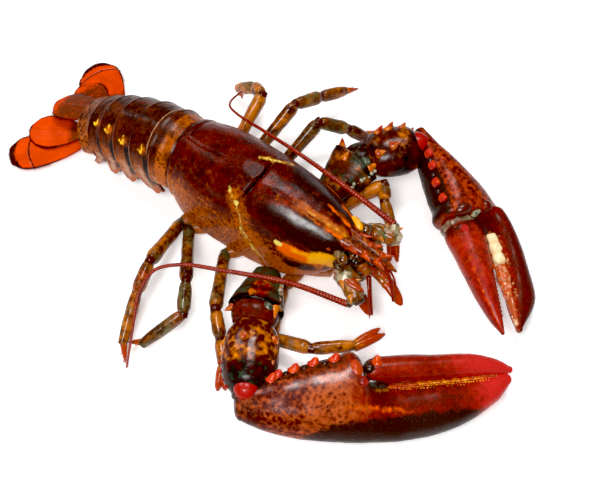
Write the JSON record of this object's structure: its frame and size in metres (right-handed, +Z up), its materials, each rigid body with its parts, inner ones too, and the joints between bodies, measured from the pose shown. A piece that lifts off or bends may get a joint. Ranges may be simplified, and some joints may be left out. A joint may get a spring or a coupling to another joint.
{
  "type": "cooked clawed lobster",
  "caption": "Whole cooked lobster lying on its belly, claws folded forward, tail half curled with its fan spread, whiskers swept back.",
  "frame": {"origin": "middle of the flat underside of the breastplate, on the surface that the lobster lies on", "axes": "+X towards the head, +Y towards the lobster's left side, +Z up"},
  "size_m": [0.2786, 0.192, 0.0525],
  "materials": {
    "back_shell": "wet glossy shell, black-brown over orange, speckled",
    "tail_shell": "wet glossy shell, brown-black with orange speckles and yellow rims",
    "fan_shell": "satin orange-red blades with dark fringed edges",
    "claw_shell": "wet glossy shell, deep red to orange with dark mottling",
    "arm_shell": "wet glossy shell, dark green-brown with orange mottling",
    "leg_shell": "glossy brown-orange shell with darker joints",
    "whisker_shell": "dark red ringed whisker, satin",
    "belly_shell": "pale orange-tan shell, satin",
    "eye_surface": "wet black eye"
  },
  "bodies": {
    "root": {"breastplate": "belly_shell", "carapace": "back_shell", "tail_ring_1": "tail_shell", "tail_ring_2": "tail_shell", "tail_ring_3": "tail_shell", "tail_ring_4": "tail_shell", "tail_ring_5": "tail_shell", "tail_ring_6": "tail_shell", "telson": "fan_shell", "right_tail_blade_inner": "fan_shell", "left_tail_blade_inner": "fan_shell", "right_tail_blade_outer": "fan_shell", "left_tail_blade_outer": "fan_shell", "right_claw_hand": "claw_shell", "right_claw_thumb": "claw_shell", "right_upper_arm": "arm_shell", "right_forearm": "arm_shell", "left_claw_hand": "claw_shell", "left_claw_thumb": "claw_shell", "left_upper_arm": "arm_shell", "left_forearm": "arm_shell", "right_leg_1_merus": "leg_shell", "right_leg_1_carpus": "leg_shell", "right_leg_1_foot": "leg_shell", "right_leg_2_merus": "leg_shell", "right_leg_2_carpus": "leg_shell", "right_leg_2_foot": "leg_shell", "right_leg_3_merus": "leg_shell", "right_leg_3_carpus": "leg_shell", "right_leg_3_foot": "leg_shell", "right_leg_4_merus": "leg_shell", "right_leg_4_carpus": "leg_shell", "right_leg_4_foot": "leg_shell", "left_leg_1_merus": "leg_shell", "left_leg_1_carpus": "leg_shell", "left_leg_1_foot": "leg_shell", "left_leg_2_merus": "leg_shell", "left_leg_2_carpus": "leg_shell", "left_leg_2_foot": "leg_shell", "left_leg_3_merus": "leg_shell", "left_leg_3_carpus": "leg_shell", "left_leg_3_foot": "leg_shell", "left_leg_4_merus": "leg_shell", "left_leg_4_carpus": "leg_shell", "left_leg_4_foot": "leg_shell", "right_eye": "eye_surface", "right_antenna_base": "leg_shell", "right_antenna": "whisker_shell", "right_antennule": "whisker_shell", "right_jaw_leg": "leg_shell", "left_eye": "eye_surface", "left_antenna_base": "leg_shell", "left_antenna": "whisker_shell", "left_antennule": "whisker_shell", "left_jaw_leg": "leg_shell"}
  },
  "joints": []
}
